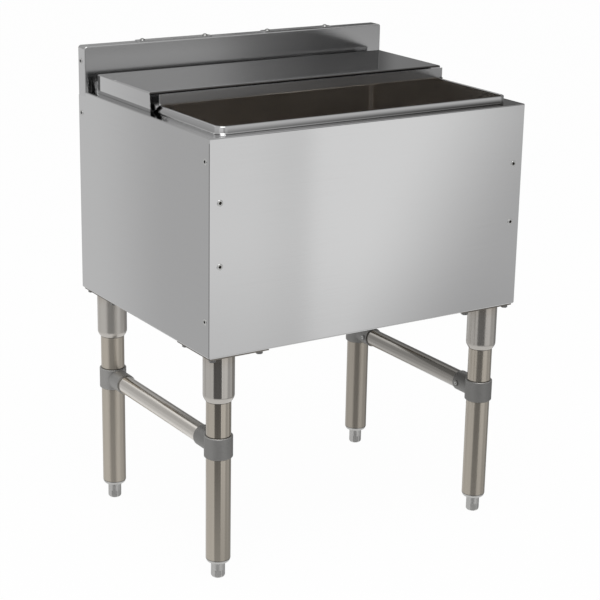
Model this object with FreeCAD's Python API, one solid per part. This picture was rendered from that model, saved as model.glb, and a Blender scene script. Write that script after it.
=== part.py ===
import FreeCAD, Part
import math
import os

# Underbar ice bin: an insulated sheet-steel cabinet with a welded ice tub, on four tube legs.
# Millimetres. +X is the right-hand side, -Y the front, +Z up, and the floor is Z = 0.

Vector = FreeCAD.Vector
X_AXIS = Vector(1, 0, 0)
Y_AXIS = Vector(0, 1, 0)
Z_AXIS = Vector(0, 0, 1)

# Cabinet
width = 609.6
depth = 454.0
body_height = 353.0        # ledge to the underside of the panels
rim_top_height = 762.0     # floor to the top of the raised rim
sheet = 1.2                # all pressed sheet
bend = 1.5                 # inside radius of a pressed bend
seam = 0.4                 # open joint between two panels at a corner
fit_gap = 0.3              # between a loose piece and what it rests on
slip_gap = 0.15            # round a tube in its socket
press_gap = 0.05           # round a piece that is pressed into its hole
return_width = 22.0        # flange turned in along the foot of a panel
corner_round = 4.0         # lower corners of the front panel

# Top deck and raised rim
deck_skirt = 8.0           # edge of the deck that is turned down to meet the panels
deck_round = 2.0           # outside radius of that bend
rim_height = 12.7
rim_wide = 3.0
rim_side_inset = 24.3
rim_front_inset = 16.5
rim_back_gap = 17.0        # splash to the rim behind the tub
rim_corner = 16.0          # plan radius of the rim's outer corners
rim_round = 1.4
rim_cove = 2.0             # hollow fillet at the rim's foot
rim_lip_round = 0.8        # inner edge of the rim

# Splash
splash_height = 77.0       # above the ledge
splash_thickness = 26.0
splash_round = 5.0         # top edges at the two ends
splash_edge_round = 1.8    # long edges and uprights
strip_length = 147.0
strip_wide = 17.0
strip_thick = 2.0
strip_spread = 253.0       # between the middles of the two strips
strip_rivet_inset = 11.5
rivet_radius = 2.4
rivet_head_radius = 5.0
rivet_head_height = 3.2

# Ice tub
floor_insulation = 51.1    # bottom panel to the underside of the tub at the drain
tub_cove = 8.0             # round edge of the floor
tub_seam_rise = 2.4        # seam of the walls and the floor above the floor's edge
tub_fall = 6.0             # pitch of the floor to the drain
drain_landing = 110.0      # flat square round the drain

# Drain
drain_flange_wide = 23.0   # flange beyond the stem
drain_flange_thick = 1.6
drain_stem_wall = 4.95
drain_stem_length = 32.0
drain_gasket_wide = 16.0   # gasket beyond the stem
drain_gasket_thick = 3.0
locknut_wall = 10.0        # stem to the nut's flats
locknut_thick = 9.0
pipe_radius = 16.7         # connection below the cabinet
pipe_step = 0.7            # connection in to the neck that passes up into the stem
pipe_wall = 2.8            # of the neck
pipe_seat = 20.0           # length of neck inside the stem
pipe_below = 45.0          # cabinet's underside to the end of the pipe
pipe_shoulder_drop = 3.0   # cabinet's underside to the shoulder of the pipe
strainer_wide = 11.0       # cap beyond the neck
strainer_thick = 1.2
strainer_skirt = 6.0
strainer_hole = 1.9
strainer_pitch = 6.2
board_bore_gap = 3.0       # foam board clear of the locknut's corners

# Threaded inserts
insert_bore = 2.55
insert_radius = 4.0
insert_flange_radius = 5.2
insert_flange_thick = 0.8
insert_length = 12.0
pocket_gap = 0.5           # foam clear of inserts and nuts
front_insert_inset = 18.0
front_insert_drops = (101.6, 203.2)
side_front_insert_inset = 15.0
side_front_insert_drops = (38.1, 294.0)
side_back_insert_inset = 10.0
side_back_insert_drops = (38.1, -51.0)

# Covers
cover_side_gap = 3.3       # sliding cover's flange to the rim
cover_nest_gap = 4.1       # rear cover's flange to the sliding cover
cover_clear = 17.0         # space between the two cover plates
cover_round = 2.2
rear_cover_depth = 188.5
rear_cover_back_gap = 19.0
rear_cover_hem = 6.0       # along the front and the back
finger_gap = 16.3          # between the lip and the rear cover's front edge
sliding_cover_back_gap = 19.0
sliding_flange_lift = 1.0  # foot of the sliding cover's flange above the ledge
sliding_flange_slope = 16.0
sliding_lip_height = 17.0

# Legs
leg_side_inset = 38.5
leg_end_inset = 37.5
leg_radius = 20.65
leg_wall = 1.5
gusset_plate_thick = 2.5
gusset_plate_margin = 3.0
gusset_plate_reach = 111.0
gusset_plate_tip = 24.0
sleeve_room = 2.8          # between the leg and the wide part of the sleeve
sleeve_wall = 2.5
sleeve_length = 84.0       # below the underside of the cabinet
sleeve_taper = 6.5
sleeve_round = 13.0        # shoulder above the taper
sleeve_mouth_wall = 1.2
weld_leg = 3.0
bolt_near = 11.5           # bolt centres from the cabinet's faces
bolt_far = 98.0
bolt_radius = 3.0
bolt_hole_gap = 0.2
bolt_head_flats = 10.0
bolt_head_height = 4.2
bolt_flange_radius = 6.4
bolt_flange_thick = 1.2
nut_flats = 10.0
nut_thick = 5.0
screw_radius = 3.0
screw_socket_radius = 1.5
screw_socket_deep = 2.5
screw_proud = 1.5
sleeve_screw_drop = 45.0

# Leg plugs and feet
leg_end_height = 34.5      # lower end of the tube above the floor
plug_shoulder = 7.0
plug_shoulder_inset = 0.7  # shoulder inside the tube's outline
plug_shoulder_land = 0.8   # straight part above the shoulder's round
plug_length = 32.0         # inside the tube
foot_flats = 21.0
foot_corner_trim = 0.42    # turned off the hexagon's corners
foot_edge_round = 4.5
foot_hexagon_height = 14.0
foot_thread_radius = 6.0
foot_thread_length = 36.0
thread_gap = 0.08

# Tee brackets and side rails
tee_drop = 79.3            # mouth of the sleeve to the middle of the tee
tee_collar_wall = 2.95
tee_collar_margin = 0.5    # collar above and below the socket
tee_edge_round = 1.5
tee_socket_wall = 1.975
tee_socket_reach = 52.0    # leg axis to the mouth of the socket
tee_boss_radius = 5.5
tee_boss_proud = 1.5
tee_screw_reach = 42.0     # leg axis to the set screw
rail_radius = 15.875
rail_wall = 1.2
rail_end_gap = 3.0         # rail end to the collar

# Heights and faces that follow from the sizes above
ledge_z = rim_top_height - rim_height
bottom_z = ledge_z - body_height
panel_top_z = ledge_z - deck_skirt
splash_top_z = ledge_z + splash_height
base_top_z = bottom_z + 2 * sheet
side_x = width / 2
back_y = depth / 2
front_y = -back_y
splash_y = back_y - splash_thickness
rim_x = side_x - rim_side_inset
rim_front_y = front_y + rim_front_inset
rim_back_y = splash_y - rim_back_gap
tub_x = rim_x - rim_wide
tub_front_y = rim_front_y + rim_wide
tub_back_y = rim_back_y - rim_wide
tub_corner = rim_corner - rim_wide
drain_z = base_top_z + floor_insulation + sheet
tub_floor_z = drain_z + tub_fall
drain_y = (tub_front_y + tub_back_y) / 2
pipe_neck_radius = pipe_radius - pipe_step
drain_stem_radius = pipe_neck_radius + press_gap + drain_stem_wall
drain_flange_radius = drain_stem_radius + drain_flange_wide
drain_gasket_radius = drain_stem_radius + drain_gasket_wide
locknut_flats = 2 * (drain_stem_radius + locknut_wall)
strainer_radius = pipe_neck_radius + strainer_wide
stem_bottom_z = drain_z - drain_stem_length
pipe_top_z = stem_bottom_z + pipe_seat
pipe_bottom_z = bottom_z - pipe_below
leg_x = side_x - leg_side_inset
leg_y = back_y - leg_end_inset
leg_top_z = bottom_z - gusset_plate_thick
sliding_plate_z = rim_top_height + fit_gap
sliding_x = rim_x + cover_side_gap + sheet
rear_x = sliding_x + cover_nest_gap + sheet
rear_top_z = sliding_plate_z + sheet + cover_clear + sheet
rear_cover_y = splash_y - rear_cover_back_gap - rear_cover_depth
lip_y = rear_cover_y - finger_gap - sheet
sleeve_radius = leg_radius + sleeve_room + sleeve_wall
sleeve_mouth_z = bottom_z - sleeve_length
tee_height = sleeve_mouth_z - tee_drop
tee_collar_radius = leg_radius + slip_gap + tee_collar_wall
tee_socket_radius = rail_radius + slip_gap + tee_socket_wall
tee_collar_height = 2 * (tee_socket_radius + tee_collar_margin)
plug_bottom_z = leg_end_height - plug_shoulder
foot_corner_radius = foot_flats / math.sqrt(3) - foot_corner_trim

SIDES = {"left": -1, "right": 1}
ENDS = {"front": -1, "back": 1}
LEGS = [(end, side) for end in ENDS for side in SIDES]
TOUCH = 1e-4


def box(low, high):
    """Block between two corners."""
    size = [b - a for a, b in zip(low, high)]
    return Part.makeBox(*size, Vector(*low))


def cylinder(radius, base, height, axis=Z_AXIS):
    return Part.makeCylinder(radius, height, Vector(*base), axis)


def tube(outer, inner, base, height, axis=Z_AXIS):
    return cylinder(outer, base, height, axis).cut(cylinder(inner, base, height, axis))


def hexagon(flats, base, height):
    """Upright hexagonal prism, measured across its flats, with a corner to the front and the back."""
    radius = flats / math.sqrt(3)
    turns = [math.radians(60 * i + 30) for i in range(7)]
    points = [Vector(base[0] + radius * math.cos(t), base[1] + radius * math.sin(t), base[2]) for t in turns]
    return Part.Face(Part.makePolygon(points)).extrude(Z_AXIS * height)


def edges_at(shape, z):
    """Edges that lie flat at one height."""
    return [e for e in shape.Edges if abs(e.BoundBox.ZMin - z) < TOUCH and abs(e.BoundBox.ZMax - z) < TOUCH]


def upright_edges(shape):
    return [e for e in shape.Edges if e.BoundBox.XLength < TOUCH and e.BoundBox.YLength < TOUCH]


def rounded_slab(low, high, radius):
    """Block with its four upright corners rounded."""
    slab = box(low, high)
    return slab.makeFillet(radius, upright_edges(slab))


def soft_top(low, high, radius, back):
    """Block with its top edges rounded along the front and the sides, and along the back if asked."""
    block = box(low, high)
    edges = [e for e in edges_at(block, high[2]) if back or e.BoundBox.YMin < high[1] - TOUCH]
    return block.makeFillet(radius, edges)


def pan(low, high, radius, back):
    """Sheet pan, open below, with rounded top edges and a wall along the back if asked."""
    inner_back = high[1] - sheet if back else high[1] + sheet
    inner_low = (low[0] + sheet, low[1] + sheet, low[2] - sheet)
    inner_high = (high[0] - sheet, inner_back, high[2] - sheet)
    return soft_top(low, high, radius, back).cut(soft_top(inner_low, inner_high, radius - sheet, back))


def rounded_path(points, radii):
    """Edges along points, with an arc of the given radius at each inner one."""
    edges = []
    start = points[0]
    for before, corner, after, radius in zip(points, points[1:], points[2:], radii):
        into = (before - corner).normalize()
        out = (after - corner).normalize()
        half = into.getAngle(out) / 2
        reach = radius / math.tan(half)
        middle = corner + (into + out).normalize() * (radius / math.sin(half) - radius)
        arc = Part.Arc(corner + into * reach, middle, corner + out * reach)
        edges.append(Part.makeLine(start, corner + into * reach))
        edges.append(arc.toShape())
        start = corner + out * reach
    edges.append(Part.makeLine(start, points[-1]))
    return edges


def bent_sheet(points, normal, run):
    """Sheet bent along points on one face, drawn out along run.

    The wall lies left of the path, seen from normal.
    """
    face = [Vector(*p) for p in points]
    travel = [(b - a).normalize() for a, b in zip(face, face[1:])]
    left = [normal.cross(t) for t in travel]
    inner = [face[0] + left[0] * sheet]
    face_radii = []
    inner_radii = []
    for i, corner in enumerate(face[1:-1]):
        inner.append(corner + (left[i] + left[i + 1]) * (sheet / (1 + left[i].dot(left[i + 1]))))
        turns_left = left[i].dot(travel[i + 1]) > 0
        face_radii.append(bend + sheet if turns_left else bend)
        inner_radii.append(bend if turns_left else bend + sheet)
    inner.append(face[-1] + left[-1] * sheet)
    edges = rounded_path(face, face_radii) + rounded_path(inner, inner_radii)
    edges.append(Part.makeLine(face[0], inner[0]))
    edges.append(Part.makeLine(face[-1], inner[-1]))
    return Part.Face(Part.Wire(Part.__sortEdges__(edges))).extrude(run)


def placed(shape, point, outward):
    """Copy of a shape that was drawn along +Z, moved to point and turned to face outward."""
    copy = shape.copy()
    copy.Placement = FreeCAD.Placement(Vector(*point), FreeCAD.Rotation(Z_AXIS, outward))
    return copy


def mirrored(shape):
    return shape.mirror(Vector(0, 0, 0), X_AXIS)


# Threaded inserts

def insert():
    """Flanged threaded insert whose flange lies on the sheet at Z = 0."""
    body = cylinder(insert_radius, (0, 0, -insert_length), insert_length)
    flange = cylinder(insert_flange_radius, (0, 0, 0), insert_flange_thick)
    flange = flange.makeChamfer(insert_flange_thick / 2, edges_at(flange, insert_flange_thick))
    total = insert_length + insert_flange_thick
    return body.fuse(flange).cut(cylinder(insert_bore, (0, 0, -insert_length), total)).removeSplitter()


def front_insert_points():
    x = side_x - front_insert_inset
    return [(s * x, front_y, ledge_z - drop) for s in SIDES.values() for drop in front_insert_drops]


def side_insert_points(side):
    front = [(side * side_x, front_y + side_front_insert_inset, ledge_z - d) for d in side_front_insert_drops]
    back = [(side * side_x, back_y - side_back_insert_inset, ledge_z - d) for d in side_back_insert_drops]
    return front + back


def inserts(points, outward):
    one = insert()
    return Part.makeCompound([placed(one, p, outward) for p in points])


def insert_holes(points, outward):
    """Holes in the sheet for inserts."""
    hole = cylinder(insert_radius + press_gap, (0, 0, -2 * sheet), 4 * sheet)
    return Part.makeCompound([placed(hole, p, outward) for p in points])


def insert_pockets():
    """Room in the foam for every insert."""
    pocket = cylinder(insert_radius + pocket_gap, (0, 0, -insert_length - pocket_gap), insert_length)
    pockets = [placed(pocket, p, -Y_AXIS) for p in front_insert_points()]
    for side in SIDES.values():
        pockets += [placed(pocket, p, X_AXIS * side) for p in side_insert_points(side)]
    return Part.makeCompound(pockets)


# Gusset bolts

def bolt_points():
    """Plan centres of the bolts that hold the gusset plates."""
    spots = [(bolt_near, bolt_near), (bolt_far, bolt_near), (bolt_near, bolt_far)]
    return [(SIDES[s] * (side_x - a), ENDS[e] * (back_y - b)) for e, s in LEGS for a, b in spots]


def bolt_holes():
    z = bottom_z - gusset_plate_thick
    radius = bolt_radius + bolt_hole_gap
    return Part.makeCompound([cylinder(radius, (x, y, z), base_top_z - z) for x, y in bolt_points()])


def gusset_bolts():
    bolts = []
    plate_z = bottom_z - gusset_plate_thick
    flange_z = plate_z - bolt_flange_thick
    for x, y in bolt_points():
        head = hexagon(bolt_head_flats, (x, y, flange_z - bolt_head_height), bolt_head_height)
        flange = cylinder(bolt_flange_radius, (x, y, flange_z), bolt_flange_thick)
        shank = cylinder(bolt_radius, (x, y, plate_z), base_top_z + nut_thick - plate_z)
        bolts.append(head.fuse([flange, shank]))
    return Part.makeCompound(bolts)


def gusset_nuts():
    nuts = []
    for x, y in bolt_points():
        bore = cylinder(bolt_radius + press_gap, (x, y, base_top_z), nut_thick)
        nuts.append(hexagon(nut_flats, (x, y, base_top_z), nut_thick).cut(bore))
    return Part.makeCompound(nuts)


def nut_pockets():
    """Room in the foam for the nuts."""
    radius = nut_flats / math.sqrt(3) + pocket_gap
    deep = nut_thick + pocket_gap
    return Part.makeCompound([cylinder(radius, (x, y, base_top_z), deep) for x, y in bolt_points()])


# Cabinet panels

def front_panel():
    path = [(0, front_y, panel_top_z), (0, front_y, bottom_z), (0, front_y + return_width, bottom_z)]
    panel = bent_sheet(path, X_AXIS, X_AXIS * width)
    panel.translate(Vector(-side_x, 0, 0))
    corner = box((-side_x, front_y - sheet, bottom_z), (side_x, front_y + return_width, panel_top_z))
    lower = [e for e in corner.Edges if e.BoundBox.ZMax < bottom_z + TOUCH and e.BoundBox.YLength > TOUCH]
    panel = panel.common(corner.makeFillet(corner_round, lower))
    notch = corner_round + sheet
    for side in SIDES.values():
        inner_x = side * (side_x - notch)
        low_x, high_x = sorted((inner_x, side * side_x))
        low = (low_x, front_y + sheet, bottom_z)
        panel = panel.cut(box(low, (high_x, front_y + return_width, bottom_z + notch)))
    return panel.cut(insert_holes(front_insert_points(), -Y_AXIS)).cut(bolt_holes())


def left_side_panel():
    start_y = front_y + sheet + seam
    corner = (-side_x, start_y, bottom_z)
    path = [(-side_x + return_width, start_y, bottom_z), corner, (-side_x, start_y, panel_top_z)]
    panel = bent_sheet(path, Y_AXIS, Y_AXIS * (back_y - start_y))
    clear = return_width + seam
    for low_y, high_y in ((front_y, front_y + clear), (back_y - clear, back_y)):
        low = (-side_x + sheet, low_y, bottom_z - sheet)
        panel = panel.cut(box(low, (-side_x + return_width, high_y, bottom_z + sheet + bend)))
    return panel.cut(insert_holes(side_insert_points(-1), -X_AXIS)).cut(bolt_holes())


def back_panel():
    half = side_x - sheet - seam
    path = [(-half, back_y - return_width, bottom_z), (-half, back_y, bottom_z), (-half, back_y, panel_top_z)]
    panel = bent_sheet(path, X_AXIS, X_AXIS * (2 * half))
    return panel.cut(bolt_holes())


def bottom_panel():
    inset = sheet + bend + seam
    low = (-side_x + inset, front_y + inset, bottom_z + sheet)
    panel = box(low, (side_x - inset, back_y - inset, base_top_z))
    pipe_hole = cylinder(pipe_neck_radius + slip_gap, (0, drain_y, bottom_z), base_top_z - bottom_z)
    return panel.cut(bolt_holes()).cut(pipe_hole)


def rim_slab(inset, low_z, high_z):
    """Block the shape of the rim in plan, drawn in by inset."""
    low = (-rim_x + inset, rim_front_y + inset, low_z)
    return rounded_slab(low, (rim_x - inset, rim_back_y - inset, high_z), rim_corner - inset)


def top_deck():
    """Ledge with its edges turned down and a hollow raised rim round the mouth of the tub."""
    ledge = pan((-side_x, front_y, panel_top_z), (side_x, splash_y, ledge_z), deck_round, back=False)
    rim = rim_slab(0, ledge_z - sheet, rim_top_height)
    rim = rim.makeFillet(rim_round, edges_at(rim, rim_top_height))
    deck = ledge.fuse(rim).removeSplitter()
    foot = [e for e in edges_at(deck, ledge_z) if abs(e.BoundBox.Center.x) < rim_x + TOUCH]
    foot = [e for e in foot if rim_front_y - TOUCH < e.BoundBox.Center.y < rim_back_y + TOUCH]
    deck = deck.makeFillet(rim_cove, foot)
    deck = deck.cut(rim_slab(sheet, panel_top_z, rim_top_height - sheet))
    deck = deck.cut(rim_slab(rim_wide, panel_top_z, rim_top_height + sheet))
    return deck.makeFillet(rim_lip_round, [e for e in edges_at(deck, rim_top_height) if within_mouth(e)])


def within_mouth(edge):
    """True for an edge on the outline of the tub's mouth."""
    span = edge.BoundBox
    across = max(abs(span.XMin), abs(span.XMax)) < tub_x + TOUCH
    return across and span.YMin > tub_front_y - TOUCH and span.YMax < tub_back_y + TOUCH


def splash_block(inset, low_z):
    """Block of the splash with its two end edges rounded, drawn in by inset."""
    low = (-side_x + inset, splash_y + inset, low_z)
    block = box(low, (side_x - inset, back_y - inset, splash_top_z - inset))
    ends = [e for e in edges_at(block, splash_top_z - inset) if e.BoundBox.XLength < TOUCH]
    return block.makeFillet(splash_round - inset, ends)


def backsplash():
    """Hollow splash, open below, with its long edges and uprights softened."""
    splash = splash_block(0, panel_top_z)
    outline = [e for e in splash.Edges if e.BoundBox.YLength < TOUCH]
    outline = [e for e in outline if e.BoundBox.ZMax > panel_top_z + TOUCH]
    splash = splash.makeFillet(splash_edge_round, outline)
    splash = splash.cut(splash_block(sheet, panel_top_z - sheet))
    for sign in SIDES.values():
        splash = splash.cut(insert_holes(side_insert_points(sign), X_AXIS * sign))
    return splash.cut(rivet_holes())


# Splash strips

def strip_centres():
    return {side: sign * strip_spread / 2 for side, sign in SIDES.items()}


def strip_y():
    return splash_y + splash_thickness / 2


def rivet_points():
    reach = strip_length / 2 - strip_rivet_inset
    return [(x + sign * reach, strip_y()) for x in strip_centres().values() for sign in SIDES.values()]


def rivet_holes():
    radius = rivet_radius + press_gap
    low_z = splash_top_z - 2 * sheet
    deep = 2 * sheet + strip_thick
    return Part.makeCompound([cylinder(radius, (x, y, low_z), deep) for x, y in rivet_points()])


def splash_strip(side):
    x = strip_centres()[side]
    low = (x - strip_length / 2, strip_y() - strip_wide / 2, splash_top_z)
    high = (x + strip_length / 2, strip_y() + strip_wide / 2, splash_top_z + strip_thick)
    strip = rounded_slab(low, high, strip_wide / 4)
    return strip.cut(rivet_holes())


def splash_rivets():
    """Dome-headed rivets through the strips and the top of the splash."""
    rivets = []
    seat_z = splash_top_z + strip_thick
    ball = (rivet_head_radius ** 2 + rivet_head_height ** 2) / (2 * rivet_head_height)
    for x, y in rivet_points():
        dome = Part.makeSphere(ball, Vector(x, y, seat_z + rivet_head_height - ball))
        head = dome.common(cylinder(rivet_head_radius, (x, y, seat_z), rivet_head_height))
        shank = cylinder(rivet_radius, (x, y, splash_top_z - sheet), sheet + strip_thick)
        rivets.append(head.fuse(shank))
    return Part.makeCompound(rivets)


# Ice tub and foam boards

def tub_block(wall, top_z):
    """Solid the shape of the tub's inside, grown by wall, with a coved and pitched floor."""
    low = (-tub_x - wall, tub_front_y - wall, tub_floor_z - wall)
    block = rounded_slab(low, (tub_x + wall, tub_back_y + wall, top_z), tub_corner + wall)
    block = block.makeFillet(tub_cove + wall, edges_at(block, low[2]))
    return block.fuse(floor_pitch(wall)).removeSplitter()


def floor_pitch(wall):
    """Shallow four-sided fall from the floor's edge to the drain."""
    half_x = tub_x - tub_cove
    half_y = (tub_back_y - tub_front_y) / 2 - tub_cove
    loops = []
    for reach_x, reach_y, z in (
        (half_x, half_y, tub_floor_z - wall),
        (drain_landing / 2, drain_landing / 2, drain_z - wall),
    ):
        signs = ((-1, -1), (1, -1), (1, 1), (-1, 1), (-1, -1))
        loops.append(Part.makePolygon([Vector(a * reach_x, drain_y + b * reach_y, z) for a, b in signs]))
    return Part.makeLoft(loops, True, True)


def tub_wall_zones():
    """Upright blocks that each hold one wall of the tub, mitred at the corners."""
    out_x = tub_x + sheet
    front = tub_front_y - sheet
    back = tub_back_y + sheet
    deep = 2 * tub_corner
    corners = [(-out_x, front), (out_x, front), (out_x, back), (-out_x, back)]
    inner = [(-out_x + deep, front + deep), (out_x - deep, front + deep)]
    inner += [(out_x - deep, back - deep), (-out_x + deep, back - deep)]
    seam_z = tub_floor_z + tub_seam_rise
    zones = []
    for i in range(4):
        j = (i + 1) % 4
        loop = [corners[i], corners[j], inner[j], inner[i], corners[i]]
        outline = Part.makePolygon([Vector(x, y, seam_z) for x, y in loop])
        zones.append(Part.Face(outline).extrude(Z_AXIS * (rim_top_height - seam_z)))
    return zones


def ice_tub():
    """Four walls and a pitched floor with half of each round corner, butt-welded along the corners."""
    top_z = rim_top_height - sheet
    tub = tub_block(sheet, top_z).cut(tub_block(0, top_z + sheet))
    walls = [tub.common(zone) for zone in tub_wall_zones()]
    low = (-side_x, front_y, base_top_z)
    floor = tub.common(box(low, (side_x, back_y, tub_floor_z + tub_seam_rise)))
    drain_hole = cylinder(drain_stem_radius + slip_gap, (0, drain_y, drain_z - 2 * sheet), 3 * sheet)
    return Part.makeCompound(walls + [floor.cut(drain_hole)])


def foam_board(low, high):
    return box(low, high).cut(insert_pockets()).cut(nut_pockets())


def foam_boards():
    """Boards that fill the space between the tub and the panels, the bottom one in four round the drain."""
    skin_x = side_x - sheet
    skin_y = back_y - sheet
    wall_x = tub_x + sheet
    front_wall = tub_front_y - sheet
    back_wall = tub_back_y + sheet
    low_z = bottom_z + sheet + max(sheet, bend)
    top_z = panel_top_z
    tub_under_z = drain_z - sheet
    boards = {
        "foam_left": foam_board((-skin_x, -skin_y, low_z), (-wall_x, skin_y, top_z)),
        "foam_right": foam_board((wall_x, -skin_y, low_z), (skin_x, skin_y, top_z)),
        "foam_front": foam_board((-wall_x, -skin_y, low_z), (wall_x, front_wall, top_z)),
        "foam_back": foam_board((-wall_x, back_wall, low_z), (wall_x, skin_y, top_z)),
    }
    nut_room = locknut_flats / math.sqrt(3) + board_bore_gap
    round_drain = (
        ((-wall_x, front_wall), (-nut_room, back_wall)),
        ((nut_room, front_wall), (wall_x, back_wall)),
        ((-nut_room, front_wall), (nut_room, drain_y - nut_room)),
        ((-nut_room, drain_y + nut_room), (nut_room, back_wall)),
    )
    boards["foam_bottom"] = Part.makeCompound([
        foam_board((*low, low_z), (*high, tub_under_z)) for low, high in round_drain
    ])
    return boards


# Drain

def drain_flange():
    disc = cylinder(drain_flange_radius, (0, drain_y, drain_z), drain_flange_thick)
    disc = disc.makeChamfer(drain_flange_thick / 2, edges_at(disc, drain_z + drain_flange_thick))
    stem = cylinder(drain_stem_radius, (0, drain_y, stem_bottom_z), drain_stem_length)
    bore_length = drain_stem_length + drain_flange_thick
    bore = cylinder(pipe_neck_radius + press_gap, (0, drain_y, stem_bottom_z), bore_length)
    return disc.fuse(stem).cut(bore).removeSplitter()


def drain_gasket():
    base = (0, drain_y, drain_z - sheet - drain_gasket_thick)
    return tube(drain_gasket_radius, drain_stem_radius + slip_gap, base, drain_gasket_thick)


def drain_locknut():
    base = (0, drain_y, drain_z - sheet - drain_gasket_thick - locknut_thick)
    bore = cylinder(drain_stem_radius + press_gap, base, locknut_thick)
    return hexagon(locknut_flats, base, locknut_thick).cut(bore)


def drain_tailpiece():
    """Pipe out of the bottom of the cabinet: a neck in the stem and a thicker connection below it."""
    base = (0, drain_y, pipe_bottom_z)
    length = pipe_top_z - pipe_bottom_z
    connection = cylinder(pipe_radius, base, pipe_below - pipe_shoulder_drop)
    pipe = cylinder(pipe_neck_radius, base, length).fuse(connection)
    return pipe.cut(cylinder(pipe_neck_radius - pipe_wall, base, length)).removeSplitter()


def drain_strainer():
    """Perforated cap with a skirt that sits in the bore of the flange."""
    seat_z = drain_z + drain_flange_thick
    cap = cylinder(strainer_radius, (0, drain_y, seat_z), strainer_thick)
    skirt_radius = pipe_neck_radius - press_gap
    skirt = tube(skirt_radius, skirt_radius - sheet, (0, drain_y, seat_z - strainer_skirt), strainer_skirt)
    holes = [cylinder(strainer_hole, (0, drain_y, seat_z), strainer_thick)]
    for ring in (1, 2):
        count = 6 * ring
        for i in range(count):
            turn = 2 * math.pi * i / count
            x = ring * strainer_pitch * math.cos(turn)
            y = drain_y + ring * strainer_pitch * math.sin(turn)
            holes.append(cylinder(strainer_hole, (x, y, seat_z), strainer_thick))
    return cap.fuse(skirt).cut(Part.makeCompound(holes))


# Covers

def rear_cover():
    """Cap that stands on the ledge by its side flanges, with a short hem along its front and back."""
    back_y_end = rear_cover_y + rear_cover_depth
    low = (-rear_x, rear_cover_y, ledge_z + fit_gap)
    cap = pan(low, (rear_x, back_y_end, rear_top_z), cover_round, back=True)
    mouth_low = (-rear_x + sheet, rear_cover_y - sheet, ledge_z)
    mouth_high = (rear_x - sheet, back_y_end + sheet, rear_top_z - rear_cover_hem)
    return cap.cut(box(mouth_low, mouth_high))


def sliding_cover():
    """Plate that runs on the rim, with side flanges and a front edge turned up as a hand lip."""
    foot_z = ledge_z + sliding_flange_lift
    top_z = sliding_plate_z + sheet
    plate_y = lip_y + bend + sheet
    back = splash_y - sliding_cover_back_gap
    path = [(x, lip_y, z) for x, z in (
        (-sliding_x, foot_z),
        (-sliding_x, top_z),
        (sliding_x, top_z),
        (sliding_x, foot_z),
    )]
    plate = bent_sheet(path, Y_AXIS, Y_AXIS * (back - lip_y))
    half_lip = sliding_x - bend - sheet
    plate = plate.cut(box((-half_lip, lip_y, sliding_plate_z), (half_lip, plate_y, top_z)))
    lip_top_z = top_z + sliding_lip_height
    lip_path = [
        (-half_lip, lip_y, lip_top_z),
        (-half_lip, lip_y, sliding_plate_z),
        (-half_lip, plate_y + sheet, sliding_plate_z),
    ]
    lip = bent_sheet(lip_path, X_AXIS, X_AXIS * (2 * half_lip))
    return plate.fuse(lip).removeSplitter().cut(flange_corners(foot_z))


def flange_corners(foot_z):
    """Sloping cut at the front of the sliding cover's two flanges."""
    corners = []
    for side in SIDES.values():
        points = [(lip_y, sliding_plate_z), (lip_y, foot_z), (lip_y + sliding_flange_slope, foot_z)]
        outline = [Vector(side * (sliding_x - sheet), y, z) for y, z in points + points[:1]]
        corners.append(Part.Face(Part.makePolygon(outline)).extrude(X_AXIS * (side * sheet)))
    return Part.makeCompound(corners)


# Underframe

def leg_gusset(end, side):
    """Triangular plate under a corner of the cabinet, with the sleeve that takes the leg welded on."""
    near = gusset_plate_margin
    far = gusset_plate_reach
    tip = near + gusset_plate_tip
    outline = [(near, near), (far, near), (far, tip), (tip, far), (near, far)]
    corners = [plan_point(end, side, a, b, leg_top_z) for a, b in outline]
    plate = Part.Face(Part.makePolygon(corners + corners[:1])).extrude(Z_AXIS * gusset_plate_thick)
    x, y = leg_place(end, side)
    swage_z = sleeve_mouth_z + sleeve_taper
    bore = leg_radius + slip_gap
    profile = [
        (bore, sleeve_mouth_z),
        (bore + sleeve_mouth_wall, sleeve_mouth_z),
        (sleeve_radius, swage_z),
        (sleeve_radius, leg_top_z - weld_leg),
        (sleeve_radius + weld_leg, leg_top_z),
        (sleeve_radius - sleeve_wall, leg_top_z),
        (sleeve_radius - sleeve_wall, swage_z),
    ]
    sleeve = revolved(profile)
    shoulder = [e for e in edges_at(sleeve, swage_z) if e.BoundBox.XMax > sleeve_radius - TOUCH]
    sleeve = sleeve.makeFillet(sleeve_round, shoulder)
    sleeve.translate(Vector(x, y, 0))
    gusset = plate.cut(bolt_holes()).fuse(sleeve)
    return gusset.cut(sleeve_screw_hole(end, side)).removeSplitter()


def revolved(profile):
    """Solid turned about the Z axis from (radius, height) points."""
    points = [Vector(r, 0, z) for r, z in profile + profile[:1]]
    return Part.Face(Part.makePolygon(points)).revolve(Vector(0, 0, 0), Z_AXIS, 360)


def plan_point(end, side, a, b, z):
    """Point a in from a side face and b in from the front or back face."""
    return Vector(SIDES[side] * (side_x - a), ENDS[end] * (back_y - b), z)


def leg_place(end, side):
    return SIDES[side] * leg_x, ENDS[end] * leg_y


def sleeve_screw_seat(end, side):
    """Place and direction of the screw that locks a leg in its sleeve, facing the back."""
    x, y = leg_place(end, side)
    return Vector(x, y + leg_radius, bottom_z - sleeve_screw_drop), Y_AXIS


def sleeve_screw_hole(end, side):
    point, outward = sleeve_screw_seat(end, side)
    hole = cylinder(screw_radius + press_gap, (0, 0, 0), sleeve_radius)
    return placed(hole, point, outward)


def set_screw(length):
    """Headless screw with a socket in its outer end."""
    body = cylinder(screw_radius, (0, 0, 0), length)
    return body.cut(cylinder(screw_socket_radius, (0, 0, length - screw_socket_deep), screw_socket_deep))


def sleeve_screws():
    screw = set_screw(sleeve_radius + screw_proud - leg_radius)
    return Part.makeCompound([placed(screw, *sleeve_screw_seat(end, side)) for end, side in LEGS])


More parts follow.
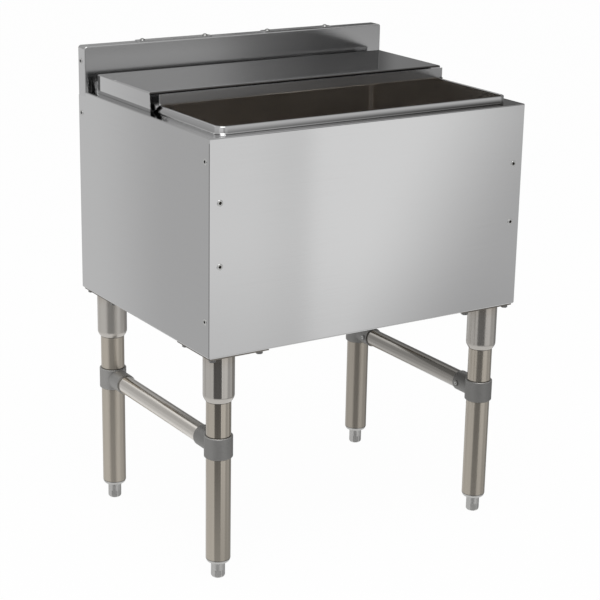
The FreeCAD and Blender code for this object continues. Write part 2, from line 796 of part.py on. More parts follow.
def leg(end, side):
    x, y = leg_place(end, side)
    return tube(leg_radius, leg_radius - leg_wall, (x, y, leg_end_height), leg_top_z - leg_end_height)


def leg_plug(end, side):
    """Plug in the lower end of a leg, with a rounded shoulder below the tube and a thread for the foot."""
    x, y = leg_place(end, side)
    shoulder = cylinder(leg_radius - plug_shoulder_inset, (x, y, plug_bottom_z), plug_shoulder)
    shoulder = shoulder.makeFillet(plug_shoulder - plug_shoulder_land, edges_at(shoulder, plug_bottom_z))
    body = cylinder(leg_radius - leg_wall - press_gap, (x, y, leg_end_height), plug_length)
    thread = cylinder(foot_thread_radius + thread_gap, (x, y, plug_bottom_z), plug_shoulder + plug_length)
    return shoulder.fuse(body).cut(thread)


def foot(end, side):
    """Adjustable foot: a round collar over a hexagon for the spanner, under a threaded rod."""
    x, y = leg_place(end, side)
    height = plug_bottom_z - fit_gap
    envelope = cylinder(foot_corner_radius, (x, y, 0), height)
    envelope = envelope.makeFillet(foot_edge_round, edges_at(envelope, 0))
    stem = hexagon(foot_flats, (x, y, 0), height).common(envelope)
    collar = cylinder(foot_corner_radius, (x, y, foot_hexagon_height), height - foot_hexagon_height)
    rod = cylinder(foot_thread_radius, (x, y, height), foot_thread_length)
    return stem.fuse([collar, rod]).removeSplitter()


def inward(end):
    """Direction along the side rail from a leg to the middle of the cabinet."""
    return Y_AXIS * -ENDS[end]


def tee_bracket(end, side):
    """Cast tee: a collar round the leg and a socket for the side rail."""
    x, y = leg_place(end, side)
    low_z = tee_height - tee_collar_height / 2
    collar = cylinder(tee_collar_radius, (x, y, low_z), tee_collar_height)
    rims = edges_at(collar, low_z) + edges_at(collar, low_z + tee_collar_height)
    collar = collar.makeFillet(tee_edge_round, rims)
    along = inward(end)
    socket = cylinder(tee_socket_radius, (x, y, tee_height), tee_socket_reach, along)
    point, outward = tee_screw_seat(end, side)
    boss_length = tee_socket_radius + tee_boss_proud - rail_radius
    boss = placed(cylinder(tee_boss_radius, (0, 0, 0), boss_length), point, outward)
    bore_start = Vector(x, y, tee_height) + along * tee_collar_radius
    rail_bore = cylinder(rail_radius + slip_gap, bore_start, tee_socket_reach, along)
    leg_bore = cylinder(leg_radius + slip_gap, (x, y, low_z), tee_collar_height)
    screw_hole = placed(cylinder(screw_radius + press_gap, (0, 0, 0), tee_socket_radius), point, outward)
    body = collar.fuse([socket, boss])
    return body.cut(leg_bore).cut(rail_bore).cut(screw_hole).removeSplitter()


def tee_screw_seat(end, side):
    """Place and direction of the set screw, on the face of the socket that looks under the cabinet."""
    x, y = leg_place(end, side)
    outward = X_AXIS * -SIDES[side]
    point = Vector(x, y, tee_height) + inward(end) * tee_screw_reach + outward * rail_radius
    return point, outward


def tee_screws():
    screw = set_screw(tee_socket_radius + tee_boss_proud - rail_radius)
    return Part.makeCompound([placed(screw, *tee_screw_seat(end, side)) for end, side in LEGS])


def side_rail(side):
    reach = leg_y - tee_collar_radius - rail_end_gap
    base = (SIDES[side] * leg_x, -reach, tee_height)
    return tube(rail_radius, rail_radius - rail_wall, base, 2 * reach, Y_AXIS)


def pieces():
    """Every piece of the bin, by name."""
    made = {
        "front_panel": front_panel(),
        "left_side_panel": left_side_panel(),
        "right_side_panel": mirrored(left_side_panel()),
        "back_panel": back_panel(),
        "bottom_panel": bottom_panel(),
        "top_deck": top_deck(),
        "backsplash": backsplash(),
        "splash_rivets": splash_rivets(),
        "ice_tub": ice_tub(),
        "drain_flange": drain_flange(),
        "drain_gasket": drain_gasket(),
        "drain_locknut": drain_locknut(),
        "drain_tailpiece": drain_tailpiece(),
        "drain_strainer": drain_strainer(),
        "front_inserts": inserts(front_insert_points(), -Y_AXIS),
        "rear_cover": rear_cover(),
        "sliding_cover": sliding_cover(),
        "gusset_bolts": gusset_bolts(),
        "gusset_nuts": gusset_nuts(),
        "sleeve_screws": sleeve_screws(),
        "tee_screws": tee_screws(),
    }
    made.update(foam_boards())
    for side, sign in SIDES.items():
        made[f"{side}_inserts"] = inserts(side_insert_points(sign), X_AXIS * sign)
        made[f"{side}_splash_strip"] = splash_strip(side)
        made[f"{side}_rail"] = side_rail(side)
    for end, side in LEGS:
        made[f"{end}_{side}_gusset"] = leg_gusset(end, side)
        made[f"{end}_{side}_leg"] = leg(end, side)
        made[f"{end}_{side}_plug"] = leg_plug(end, side)
        made[f"{end}_{side}_foot"] = foot(end, side)
        made[f"{end}_{side}_tee"] = tee_bracket(end, side)
    return made


os.makedirs("parts", exist_ok=True)
for name, shape in pieces().items():
    shape.exportStep(os.path.join("parts", name + ".step"))
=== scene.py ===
import math

import bpy
from mathutils import Matrix, Vector


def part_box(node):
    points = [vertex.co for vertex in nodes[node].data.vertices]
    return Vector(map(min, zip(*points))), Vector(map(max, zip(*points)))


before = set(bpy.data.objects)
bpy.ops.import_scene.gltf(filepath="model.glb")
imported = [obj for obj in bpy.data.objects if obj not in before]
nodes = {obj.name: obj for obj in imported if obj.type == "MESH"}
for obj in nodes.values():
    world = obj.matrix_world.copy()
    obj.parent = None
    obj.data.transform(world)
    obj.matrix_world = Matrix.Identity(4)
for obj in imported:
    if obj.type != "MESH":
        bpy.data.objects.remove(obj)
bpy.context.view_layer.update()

# Photograph's view, from the corners of the cabinet
IMAGE = 600                # pixels along a side of the photograph
FOCAL = 1739.14            # in the same pixels
SENSOR = 36.0              # in millimetres
CAMERA_PLACE = (-1.5776, -2.4611, 1.3008)
CAMERA_YAW = 32.788        # degrees from +Y towards +X
CAMERA_PITCH = 17.356      # degrees below the horizon
CAMERA_ROLL = -1.061       # degrees

# Metals and the rest, as linear colours
SHEET_STEEL = (0.620, 0.620, 0.622)
TUB_STEEL = (0.650, 0.615, 0.575)
TUBE_STEEL = (0.570, 0.545, 0.510)
LEG_STEEL = (0.555, 0.508, 0.440)
BRIGHT_STEEL = (0.640, 0.640, 0.630)
DULL_STEEL = (0.300, 0.300, 0.295)
TEE_ALLOY = (0.330, 0.326, 0.318)
FOOT_ALLOY = (0.600, 0.595, 0.580)
HEAT_TINT = (0.330, 0.255, 0.170)
# Near-black for grime, and for painted shade in joints, on the ledge, on the cover's edge and on
# the plates
GRIME_AND_SHADE_DARK = (0.060, 0.055, 0.050)
RUBBER = (0.020, 0.020, 0.021)
FOAM = (0.720, 0.640, 0.420)
WHITE = (1.0, 1.0, 1.0)
BLACK = (0.0, 0.0, 0.0)

# Roughness of each finish
PANEL_ROUGH = 0.045
RIM_ROUGH = 0.13
UNDERSIDE_ROUGH = 0.45
SPLASH_ROUGH = 0.15
REAR_COVER_ROUGH = 0.05
SLIDING_COVER_ROUGH = 0.24
TUB_ROUGH = 0.18
RAIL_ROUGH = 0.13
DRAIN_PIPE_ROUGH = 0.10
TEE_ROUGH = 0.48
FOOT_ROUGH = 0.28
FASTENER_ROUGH = 0.25
BOLT_ROUGH = 0.35
FOAM_ROUGH = 0.9
GASKET_ROUGH = 0.7

# Roughness and tone of each leg's tubes, and tone of its tee; the tones are painted light and
# shade, lit and shaded copies of one steel and one alloy
LEG_POLISH_AND_PAINTED_LIGHT = {
    "front_left": (0.10, 1.00, 1.00),
    "front_right": (0.21, 0.95, 0.90),
    "back_left": (0.30, 1.08, 1.35),
    "back_right": (0.26, 0.82, 0.90),
}
# Tone of each rail: painted light on the left one and painted shade on the right one, copies of one
# steel
RAIL_PAINTED_LIGHT = {"left": 1.42, "right": 0.73}

# Size of the marks, in metres: along and across the grain of a sheet, else along x, y and z
SHEET_GRAIN = (0.030, 0.0005, 1.0)
SHEET_STREAKS = (0.150, 0.0022, 1.0)
SHEET_SMUDGES = (0.16, 0.16, 0.16)
LEG_LINES = (0.05, 0.05, 0.0005)
LEG_STREAKS = (0.004, 0.004, 0.30)
RAIL_LINES = (0.05, 0.0005, 0.05)
RAIL_STREAKS = (0.004, 0.30, 0.004)
CAST_SAND = (0.0018, 0.0018, 0.0018)
CAST_PATCHES = (0.012, 0.012, 0.012)
TINT_PATCHES = (0.012, 0.012, 0.020)
CLOUDS = (0.01, 0.01, 0.01)
GRAIN_DEPTH = 0.000004
SAND_DEPTH = 0.00018
SAND_STRENGTH = 0.6
GRAIN_TURN = 0.25          # quarter turn, so that upright sheet blurs upwards and downwards
FACE_CHANGE = (0.69, 0.71)  # part of a face's direction at which its grain turns

# Sizes that the finishes follow, in metres
RIM_HEIGHT = 0.0127        # raised rim above the ledge
RIM_LEAN = (0.25, 0.55)    # slope of its face at the foot and at the top
RIM_HAZE_SOFT = 0.0008
LEDGE_SHADE_BELOW = (0.0012, 0.0004)  # below the ledge, where its painted shade starts and is full
LEDGE_SHADE_ABOVE = (0.010, 0.001)    # above it, at the rim's foot, where it ends and is full
LEDGE_SHADE_SPAN = (-0.30, 0.34)      # x between which it deepens to the right
PLATE_THICK = 0.0025       # gusset plate
PANEL_JOINT = 0.0018       # joint of a side panel, behind the front face
PANEL_JOINT_HALF = 0.0016
LEG_JOINT_HALF = 0.0014
SLEEVE_JOINT = 0.0006      # joint of a leg, below its sleeve
TEE_JOINT = 0.0004         # joints of a leg, above and below its tee
COVER_EDGE_REACH = 0.0025
TEE_EDGE_REACH = 0.0016
PLATE_SOFT = 0.0002
WELD_REACH = 0.03

# Strength of the stains, grime, painted shade and painted highlights, where 1 hides the metal
# Dark joints: grime, and painted shade between the parts
JOINT_DARK = 0.8
LEDGE_SHADE = (0.20, 0.86)  # painted shade on the ledge, where its span starts and ends
# Painted shade along the rear cover's front edge
COVER_EDGE_SHADE = 0.9
# Painted shadow on the gusset plates
PLATE_DARK = 0.7
# Painted highlight on the tees' top edges
EDGE_HIGHLIGHT = 0.45
WELD_BROWN = 0.55

# Floor and lamp, in metres and watts
FLOOR_SIZE = 30.0
FLOOR_PAINT = (0.85, 0.85, 0.85)
FLOOR_WHITE = 0.975        # share of the floor's own white; the rest takes the shadow
LAMP_PLACE = (-0.5, -0.9, 3.2)
LAMP_TARGET = (0.0, 0.0, 0.5)
LAMP_SIZE = 1.6
LAMP_POWER = 40.0

# What the metal sees of the room, by compass turn from +Y towards +X, in degrees:
# the light at the start, then each turn, its softness and the light past it
NEAR_FLOOR = (0.47, [
    (-116.0, 4.0, 0.72),
    (33.0, 6.0, 0.40),
    (146.0, 4.0, 0.47),
])
FLOOR = (0.84, [
    (-172.0, 0.8, 0.10),
    (-113.0, 0.8, 0.66),
    (-45.0, 8.0, 0.545),
    (-27.0, 1.3, 0.70),
    (33.0, 3.0, 0.28),
    (100.0, 3.0, 0.57),
    (142.0, 2.6, 0.99),
    (146.9, 0.3, 0.84),
    (148.3, 1.0, 0.90),
    (170.0, 5.0, 0.84),
])
WALL = (0.42, [
    (-161.0, 0.8, 0.80),
    (-113.0, 0.8, 0.62),
    (-50.0, 5.0, 0.45),
    (24.0, 2.0, 0.37),
    (30.4, 0.4, 0.21),
    (31.9, 0.6, 0.27),
    (33.2, 0.6, 0.10),
    (35.5, 0.4, 0.22),
    (100.0, 3.0, 0.30),
    (138.0, 2.0, 0.03),
    (148.0, 1.5, 0.09),
    (149.6, 0.4, 0.50),
    (156.0, 2.0, 0.42),
])
HIGH_WALL = (0.42, [
    (-161.0, 0.8, 0.80),
    (-113.0, 0.8, 0.60),
    (-50.0, 5.0, 0.45),
    (5.0, 3.0, 0.40),
    (24.0, 2.0, 0.37),
    (30.4, 0.4, 0.21),
    (31.9, 0.6, 0.27),
    (33.2, 0.6, 0.10),
    (35.5, 0.4, 0.22),
    (100.0, 3.0, 0.30),
    (138.0, 2.0, 0.08),
    (145.0, 0.5, 0.06),
    (146.5, 0.3, 0.13),
    (147.2, 0.4, 0.22),
    (148.5, 0.4, 0.17),
    (149.6, 0.4, 0.43),
    (156.0, 2.0, 0.42),
])
UNDER_LIGHT = 0.80         # from straight below
CEILING_LIGHT = 0.65
LEFT_GLOW = 0.55           # lamp high on the left, seen along the rails and the bent edges

# Where those lights lie: heights are sines of the angle above the horizon, and a pair of them is
# where a light starts to change and where the change is done
FRONT_TURN = 118.0         # the front lies past this turn
FRONT_SOFT = 2.0
FRONT_FLOOR_END = -0.175   # the floor ends nearer at the front, and elsewhere at the horizon
FLOOR_END_LOW = -0.02      # change from floor to wall, from the floor's end
FLOOR_END_HIGH = 0.03
FRONT_END_RISE = 0.025     # how much higher that change is done at the front
FRONT_SLANT = 25.0         # lean of the front floor's lights, in degrees of turn
SLANT_MIDDLE = -0.237      # height at which they stand at their own turns
SLANT_END = (145.0, 146.0)  # turns past which they are upright
FRONT_DIM = 0.16           # how much dimmer the front floor is where it is nearer
FRONT_DIM_HEIGHTS = (-0.26, -0.345)
NEAR_HEIGHTS = (-0.355, -0.46)
UNDER_HEIGHTS = (-0.48, -0.60)
HIGH_WALL_HEIGHTS = (0.160, 0.172)
CEILING_HEIGHTS = (0.55, 0.95)
FRONT_CEILING_DROP = 0.38  # how much lower the ceiling's light comes at the front
GLOW_TURNS = (-48.0, 4.0, 3.0)  # start, end and softness
GLOW_START = (0.42, 0.58)
GLOW_END = (0.78, 0.66)


class Field:
    """A number, colour or vector that varies over a surface, with arithmetic on numbers."""

    def __init__(self, finish, socket):
        self.finish = finish
        self.socket = socket

    def math(self, operation, *values):
        settings = {"operation": operation}
        return self.finish.node("ShaderNodeMath", settings, dict(enumerate(values)))

    def __add__(self, other):
        return self.math("ADD", self, other)

    __radd__ = __add__

    def __sub__(self, other):
        return self.math("SUBTRACT", self, other)

    def __rsub__(self, other):
        return self.math("SUBTRACT", other, self)

    def __mul__(self, other):
        return self.math("MULTIPLY", self, other)

    __rmul__ = __mul__

    def __abs__(self):
        return self.math("ABSOLUTE", self)

    def least(self, other):
        return self.math("MINIMUM", self, other)

    def most(self, other):
        return self.math("MAXIMUM", self, other)

    def towards(self, other, amount):
        """This number where amount is 0, and the other where it is 1."""
        return self + amount * (other - self)

    def rise(self, start, end):
        """0 up to start and 1 from end on, with a soft change between them, either way round."""
        settings = {"interpolation_type": "SMOOTHSTEP"}
        return self.finish.node("ShaderNodeMapRange", settings, {0: self, 1: start, 2: end})

    def band(self, start, end, soft):
        """1 between start and end, with a soft change at both."""
        return self.rise(start - soft, start + soft) * (1 - self.rise(end - soft, end + soft))


class Finish:
    """One node tree, for a material or the world."""

    def __init__(self, tree):
        self.tree = tree
        tree.nodes.clear()

    def node(self, kind, settings, sockets, output=0):
        """Adds a node: its settings first, then the values or links of its sockets."""
        made = self.tree.nodes.new(kind)
        for name, value in settings.items():
            setattr(made, name, value)
        for name, value in sockets.items():
            if isinstance(value, Field):
                self.tree.links.new(value.socket, made.inputs[name])
            else:
                made.inputs[name].default_value = value
        return Field(self, made.outputs[output]) if len(made.outputs) else None

    def place(self):
        """Place on the object, in metres."""
        return self.node("ShaderNodeTexCoord", {}, {}, "Object")

    def parts(self, vector):
        """The three numbers of a vector."""
        first = self.node("ShaderNodeSeparateXYZ", {}, {0: vector})
        return [Field(self, socket) for socket in first.socket.node.outputs]

    def xyz(self):
        """Place on the object as three numbers."""
        return self.parts(self.place())

    def facing(self):
        """Direction that the surface faces, as three numbers."""
        return self.parts(self.node("ShaderNodeNewGeometry", {}, {}, "Normal"))

    def vector(self, x, y, z):
        return self.node("ShaderNodeCombineXYZ", {}, {0: x, 1: y, 2: z})

    def noise(self, vector, sizes, detail=3.0, rough=0.5):
        """Soft noise between 0 and 1 whose grains have a size along each axis."""
        scale = tuple(1 / size for size in sizes)
        scaled = self.node("ShaderNodeVectorMath", {"operation": "MULTIPLY"}, {0: vector, 1: scale})
        return self.node("ShaderNodeTexNoise", {}, {
            "Vector": scaled,
            "Scale": 1.0,
            "Detail": detail,
            "Roughness": rough,
        })

    def mix(self, factor, first, second):
        """Colour between two colours."""
        sockets = {0: factor, 6: first, 7: second}
        return self.node("ShaderNodeMix", {"data_type": "RGBA"}, sockets, 2)

    def shade(self, amount, rgb):
        """Colour multiplied by a number that varies."""
        return self.mix(amount, colour(BLACK), colour(rgb))

    def stained(self, tone, marks):
        """Colour under some marks (stains, grime, painted shade or painted highlights), which each
        give their amount and colour.
        """
        for mark in marks:
            amount, rgb = mark(self)
            tone = self.mix(amount, tone, colour(rgb))
        return tone

    def bump(self, height, distance, strength=1.0):
        sockets = {"Height": height, "Distance": distance, "Strength": strength}
        return self.node("ShaderNodeBump", {}, sockets)

    def mix_shader(self, factor, first, second):
        return self.node("ShaderNodeMixShader", {}, {0: factor, 1: first, 2: second})

    def surface(self, shader, output="ShaderNodeOutputMaterial"):
        self.node(output, {}, {"Surface": shader})

    def principled(self, sockets):
        self.surface(self.node("ShaderNodeBsdfPrincipled", {}, sockets))


def new_finish(name):
    material = bpy.data.materials.new(name)
    material.use_nodes = True
    return material, Finish(material.node_tree)


def colour(rgb):
    return (*rgb, 1.0)


def toned(rgb, tone):
    return tuple(tone * part for part in rgb)


def grain_place(f):
    """Place on a sheet as (along, across) its brushed grain, which runs level on every face."""
    x, y, z = f.xyz()
    nx, _, nz = f.facing()
    on_side = abs(nx).rise(*FACE_CHANGE)
    on_top = abs(nz).rise(*FACE_CHANGE)
    return f.vector(x.towards(y, on_side), z.towards(y, on_top), 0)


def sheet_finish(name, rgb, rough, marks=(), hazy=None, form=None, brushed=0.0):
    """Brushed sheet: fine level grain, long streaks and soft smudges.

    A hazy part and a soft form may be added. Brushed is how much more the metal blurs across its
    level grain than along it.
    """
    material, f = new_finish(name)
    grain_at = grain_place(f)
    grain = f.noise(grain_at, SHEET_GRAIN, rough=0.6)
    streaks = f.noise(grain_at, SHEET_STREAKS, rough=0.6)
    smudge = f.noise(f.place(), SHEET_SMUDGES)
    tone = f.shade(0.93 + 0.06 * streaks + 0.04 * grain + 0.04 * smudge, rgb)
    polish = rough * (0.75 + 0.25 * streaks + 0.25 * smudge)
    if hazy:
        amount, haze = hazy(f)
        polish = polish.towards(haze, amount)
    relief = grain * GRAIN_DEPTH
    if form:
        relief = relief + form(f)
    f.principled({
        "Base Color": f.stained(tone, marks),
        "Metallic": 1.0,
        "Roughness": polish,
        "Anisotropic": brushed,
        "Anisotropic Rotation": GRAIN_TURN,
        "Normal": f.bump(relief, 1.0),
    })
    return material


def tube_finish(name, rgb, lines, streak, rough, marks=()):
    """Tube polished round and round, with faint streaks along it."""
    material, f = new_finish(name)
    grain = f.noise(f.place(), lines, detail=2.0)
    streaks = f.noise(f.place(), streak, detail=2.0)
    tone = f.shade(0.90 + 0.16 * streaks + 0.04 * grain, rgb)
    f.principled({
        "Base Color": f.stained(tone, marks),
        "Metallic": 1.0,
        "Roughness": rough + 0.06 * streaks,
        "Normal": f.bump(grain, GRAIN_DEPTH),
    })
    return material


def cast_finish(name, rgb, rough, marks=()):
    """Cast alloy with a fine sandy skin."""
    material, f = new_finish(name)
    sand = f.noise(f.place(), CAST_SAND)
    patch = f.noise(f.place(), CAST_PATCHES)
    tone = f.shade(0.62 + 0.50 * sand + 0.26 * patch, rgb)
    f.principled({
        "Base Color": f.stained(tone, marks),
        "Metallic": 1.0,
        "Roughness": rough + 0.12 * patch,
        "Normal": f.bump(sand, SAND_DEPTH, SAND_STRENGTH),
    })
    return material


def cloudy_finish(name, rgb, metallic, rough):
    """Even stuff with soft clouds in its tone and polish, for fasteners, foam and rubber."""
    material, f = new_finish(name)
    cloud = f.noise(f.place(), CLOUDS, detail=4.0)
    f.principled({
        "Base Color": f.shade(0.8 + 0.4 * cloud, rgb),
        "Metallic": metallic,
        "Roughness": rough + 0.1 * cloud,
    })
    return material


def joint_grime_and_shade(axis, places, half_width):
    """Dark line in the joints at some places along an axis: grime, and painted shade between the
    parts.
    """
    def mark(f):
        along = f.xyz()[axis]
        lines = sum(abs(along - place).rise(half_width, 0.3 * half_width) for place in places)
        return JOINT_DARK * lines.least(1.0), GRIME_AND_SHADE_DARK
    return mark


def ledge_painted_shade(height):
    """Painted shade on the ledge and the foot of the rim, darker to the right."""
    def mark(f):
        x, _, z = f.xyz()
        above_bend = (height - z).rise(*LEDGE_SHADE_BELOW)
        below_rim = (z - height).rise(*LEDGE_SHADE_ABOVE)
        left, right = LEDGE_SHADE
        return above_bend * below_rim * (left + (right - left) * x.rise(*LEDGE_SHADE_SPAN)), GRIME_AND_SHADE_DARK
    return mark


def edge_painted_highlight(height, reach):
    """Painted highlight along an upper edge, in bright steel."""
    def mark(f):
        return EDGE_HIGHLIGHT * f.xyz()[2].rise(height - reach, height - 0.3 * reach), BRIGHT_STEEL
    return mark


def cover_edge_painted_shade(front, top, reach):
    """Painted shade: dark line along the upper front edge of a cover."""
    def mark(f):
        _, y, z = f.xyz()
        at_front = (y - front).rise(reach, 0.4 * reach)
        at_top = (top - z).rise(2 * reach, reach)
        return COVER_EDGE_SHADE * at_front * at_top, GRIME_AND_SHADE_DARK
    return mark


def plate_shadow(height):
    """Painted shadow on the plate above the sleeves."""
    def mark(f):
        return PLATE_DARK * f.xyz()[2].rise(height - PLATE_SOFT, height + PLATE_SOFT), GRIME_AND_SHADE_DARK
    return mark


def weld_tint(height, reach):
    """Straw-brown heat tint that fades below a weld."""
    def mark(f):
        below = height - f.xyz()[2]
        patch = f.noise(f.place(), TINT_PATCHES)
        return WELD_BROWN * patch * below.rise(reach, 0.0), HEAT_TINT
    return mark


def hazy_above(height, rough):
    """Satin finish above one height, as on a rim that was dressed by hand after welding."""
    def haze(f):
        return f.xyz()[2].rise(height - RIM_HAZE_SOFT, height), rough
    return haze


def leaning_face(height, rise, foot_lean, top_lean):
    """Upright face that leans back softly, more towards its top; the leans are slopes."""
    def form(f):
        up = (f.xyz()[2] - height).most(0.0).least(rise)
        return -1.0 * up * (foot_lean + up * ((top_lean - foot_lean) / (2 * rise)))
    return form


def dress(names, material):
    for name in names:
        mesh = nodes[name].data
        mesh.materials.clear()
        mesh.materials.append(material)


def camera():
    data = bpy.data.cameras.new("photo_camera")
    data.sensor_width = SENSOR
    data.lens = FOCAL * SENSOR / IMAGE
    lens = bpy.data.objects.new("photo_camera", data)
    turn = Matrix.Rotation(-math.radians(CAMERA_YAW), 4, "Z")
    tilt = Matrix.Rotation(math.radians(90 - CAMERA_PITCH), 4, "X")
    roll = Matrix.Rotation(-math.radians(CAMERA_ROLL), 4, "Z")
    lens.matrix_world = Matrix.Translation(CAMERA_PLACE) @ turn @ tilt @ roll
    bpy.context.scene.collection.objects.link(lens)
    bpy.context.scene.camera = lens


def floor():
    """White floor that only the camera sees, and only from above.

    The metal sees the floor and walls of the studio, in the world.
    """
    half = FLOOR_SIZE / 2
    corners = [(-half, -half, 0), (half, -half, 0), (half, half, 0), (-half, half, 0)]
    mesh = bpy.data.meshes.new("studio_floor")
    mesh.from_pydata(corners, [], [(0, 1, 2, 3)])
    plane = bpy.data.objects.new("studio_floor", mesh)
    plane.visible_glossy = False
    plane.visible_diffuse = False
    plane.visible_shadow = False
    bpy.context.scene.collection.objects.link(plane)
    material, f = new_finish("studio_floor")
    matte = f.node("ShaderNodeBsdfDiffuse", {}, {"Color": colour(FLOOR_PAINT)})
    glow = f.node("ShaderNodeEmission", {}, {"Color": colour(WHITE), "Strength": 1.0})
    white = f.mix_shader(FLOOR_WHITE, matte, glow)
    clear = f.node("ShaderNodeBsdfTransparent", {}, {})
    from_below = f.node("ShaderNodeNewGeometry", {}, {}, "Backfacing")
    f.surface(f.mix_shader(from_below, white, clear))
    mesh.materials.append(material)


def overhead_lamp():
    data = bpy.data.lights.new("overhead_light", "AREA")
    data.size = LAMP_SIZE
    data.energy = LAMP_POWER
    light = bpy.data.objects.new("overhead_light", data)
    light.location = LAMP_PLACE
    aim = Vector(LAMP_TARGET) - Vector(LAMP_PLACE)
    light.rotation_euler = aim.to_track_quat("-Z", "Y").to_euler()
    bpy.context.scene.collection.objects.link(light)


def stepped(turn, lights):
    """Light that changes softly at each turn of a list."""
    level, steps = lights
    total = level
    for place, soft, light in steps:
        total = total + (light - level) * turn.rise(place - soft, place + soft)
        level = light
    return total


def floor_light(turn, z, front):
    """Pale floor, dark behind the camera, and the light from straight below."""
    lean = front * FRONT_SLANT * (z - SLANT_MIDDLE) * (1 - turn.rise(*SLANT_END))
    light = stepped(turn + lean, FLOOR)
    light = light * (1 - FRONT_DIM * front * z.rise(*FRONT_DIM_HEIGHTS))
    light = light.towards(stepped(turn, NEAR_FLOOR), z.rise(*NEAR_HEIGHTS))
    return light.towards(UNDER_LIGHT, z.rise(*UNDER_HEIGHTS))


def wall_light(turn, z, front):
    """Dimmer walls, a pale ceiling and the lamp on the left."""
    light = stepped(turn, WALL)
    light = light.towards(stepped(turn, HIGH_WALL), z.rise(*HIGH_WALL_HEIGHTS))
    ceiling = (z + front * FRONT_CEILING_DROP).rise(*CEILING_HEIGHTS)
    light = light.towards(CEILING_LIGHT, ceiling)
    glow = turn.band(*GLOW_TURNS) * z.rise(*GLOW_START) * z.rise(*GLOW_END)
    return light + LEFT_GLOW * glow


def studio():
    """Soft room for the metal to reflect; the camera itself sees plain white."""
    world = bpy.data.worlds.new("studio")
    world.use_nodes = True
    bpy.context.scene.world = world
    f = Finish(world.node_tree)
    seen = f.node("ShaderNodeLightPath", {}, {}, "Is Camera Ray")
    x, y, z = f.parts(f.node("ShaderNodeTexCoord", {}, {}, "Generated"))
    turn = x.math("ARCTAN2", x, y) * math.degrees(1)
    front = turn.rise(FRONT_TURN - FRONT_SOFT, FRONT_TURN + FRONT_SOFT)
    above_floor = z - front * FRONT_FLOOR_END
    on_wall = above_floor.rise(FLOOR_END_LOW, FLOOR_END_HIGH + FRONT_END_RISE * front)
    around = floor_light(turn, z, front).towards(wall_light(turn, z, front), on_wall)
    sockets = {"Color": colour(WHITE), "Strength": around.towards(1.0, seen)}
    f.surface(f.node("ShaderNodeBackground", {}, sockets), "ShaderNodeOutputWorld")


def dress_cabinet():
    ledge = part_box("top_deck")[1][2] - RIM_HEIGHT
    front_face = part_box("front_panel")[0][1]
    # Dark line at the side panels' front joints: grime and painted shade
    panel_joint = joint_grime_and_shade(1, [front_face + PANEL_JOINT], PANEL_JOINT_HALF)
    dress(["front_panel", "back_panel"],
          sheet_finish("panel_brushed", SHEET_STEEL, PANEL_ROUGH))
    dress(["left_side_panel", "right_side_panel"],
          sheet_finish("side_panel_brushed", SHEET_STEEL, PANEL_ROUGH, [panel_joint]))
    dress(["bottom_panel"],
          sheet_finish("underside_dull", DULL_STEEL, UNDERSIDE_ROUGH))
    # Painted shade on the front ledge and at the rim's foot
    dress(["top_deck"],
          sheet_finish("deck_brushed", SHEET_STEEL, PANEL_ROUGH, [ledge_painted_shade(ledge)],
                       hazy=hazy_above(ledge, RIM_ROUGH),
                       form=leaning_face(ledge, RIM_HEIGHT, *RIM_LEAN)))
    dress(["backsplash", "left_splash_strip", "right_splash_strip"],
          sheet_finish("splash_brushed", SHEET_STEEL, SPLASH_ROUGH, brushed=1.0))
    dress(["foam_left", "foam_right", "foam_front", "foam_back", "foam_bottom"],
          cloudy_finish("foam_board", FOAM, 0.0, FOAM_ROUGH))


def dress_covers():
    lowest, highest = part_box("rear_cover")
    # Painted shade along the cover's front edge and its bend
    cover_edge_shade = cover_edge_painted_shade(lowest[1], highest[2], COVER_EDGE_REACH)
    dress(["rear_cover"],
          sheet_finish("rear_cover_brushed", SHEET_STEEL, REAR_COVER_ROUGH, [cover_edge_shade]))
    dress(["sliding_cover"],
          sheet_finish("sliding_cover_brushed", SHEET_STEEL, SLIDING_COVER_ROUGH, brushed=1.0))


def dress_tub_and_drain():
    dress(["ice_tub", "drain_flange", "drain_strainer"],
          sheet_finish("tub_brushed", TUB_STEEL, TUB_ROUGH, brushed=1.0))
    dress(["drain_tailpiece"],
          tube_finish("pipe_polished_round", TUBE_STEEL, LEG_LINES, LEG_STREAKS, DRAIN_PIPE_ROUGH))
    dress(["drain_gasket"],
          cloudy_finish("gasket_rubber", RUBBER, 0.0, GASKET_ROUGH))


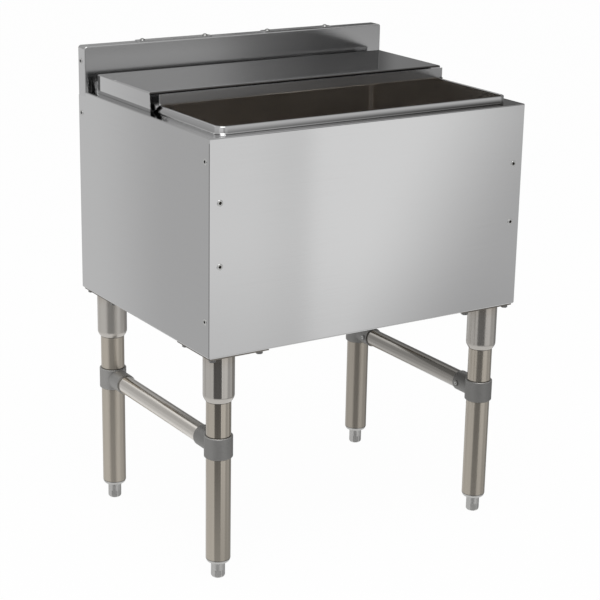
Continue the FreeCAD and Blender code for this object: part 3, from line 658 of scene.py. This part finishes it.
def dress_underframe():
    sleeve_low, sleeve_top = (corner[2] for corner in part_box("front_left_gusset"))
    tee_low, tee_high = (corner[2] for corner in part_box("front_left_tee"))
    leg_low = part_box("front_left_leg")[0][2]
    # Dark rings on the legs below the sleeves, by the tees and at the ends: grime and painted shade
    joints = [sleeve_low - SLEEVE_JOINT, tee_low - TEE_JOINT, tee_high + TEE_JOINT, leg_low]
    leg_marks = [joint_grime_and_shade(2, joints, LEG_JOINT_HALF)]
    # Heat tint below the weld, and painted shadow on the plate
    sleeve_marks = [weld_tint(sleeve_top, WELD_REACH), plate_shadow(sleeve_top - PLATE_THICK)]
    # Painted highlight along the tee's top edge
    tee_marks = [edge_painted_highlight(tee_high, TEE_EDGE_REACH)]
    # Each corner's tube and tee tones are painted light and shade
    for corner, (rough, tone, tee_painted_light) in LEG_POLISH_AND_PAINTED_LIGHT.items():
        dress([f"{corner}_gusset"],
              tube_finish(f"{corner}_sleeve_polished", toned(TUBE_STEEL, tone),
                          LEG_LINES, LEG_STREAKS, rough, sleeve_marks))
        dress([f"{corner}_leg"],
              tube_finish(f"{corner}_tube_polished", toned(LEG_STEEL, tone),
                          LEG_LINES, LEG_STREAKS, rough, leg_marks))
        dress([f"{corner}_tee"],
              cast_finish(f"{corner}_tee_casting", toned(TEE_ALLOY, tee_painted_light),
                          TEE_ROUGH, tee_marks))
    # The rails' tones are painted light and shade
    for side, tone in RAIL_PAINTED_LIGHT.items():
        dress([f"{side}_rail"],
              tube_finish(f"{side}_rail_polished", toned(TUBE_STEEL, tone),
                          RAIL_LINES, RAIL_STREAKS, RAIL_ROUGH))
    dress([f"{corner}_{piece}" for corner in LEG_POLISH_AND_PAINTED_LIGHT for piece in ("plug", "foot")],
          cast_finish("foot_casting", FOOT_ALLOY, FOOT_ROUGH))


def dress_fasteners():
    inserts = ["front_inserts", "left_inserts", "right_inserts"]
    dress([*inserts, "sleeve_screws", "tee_screws", "drain_locknut"],
          cloudy_finish("fastener_steel", BRIGHT_STEEL, 1.0, FASTENER_ROUGH))
    dress(["gusset_bolts", "gusset_nuts", "splash_rivets"],
          cloudy_finish("bolt_steel", DULL_STEEL, 1.0, BOLT_ROUGH))


camera()
floor()
studio()
overhead_lamp()
dress_cabinet()
dress_covers()
dress_tub_and_drain()
dress_underframe()
dress_fasteners()
bpy.context.scene.view_settings.view_transform = "Standard"
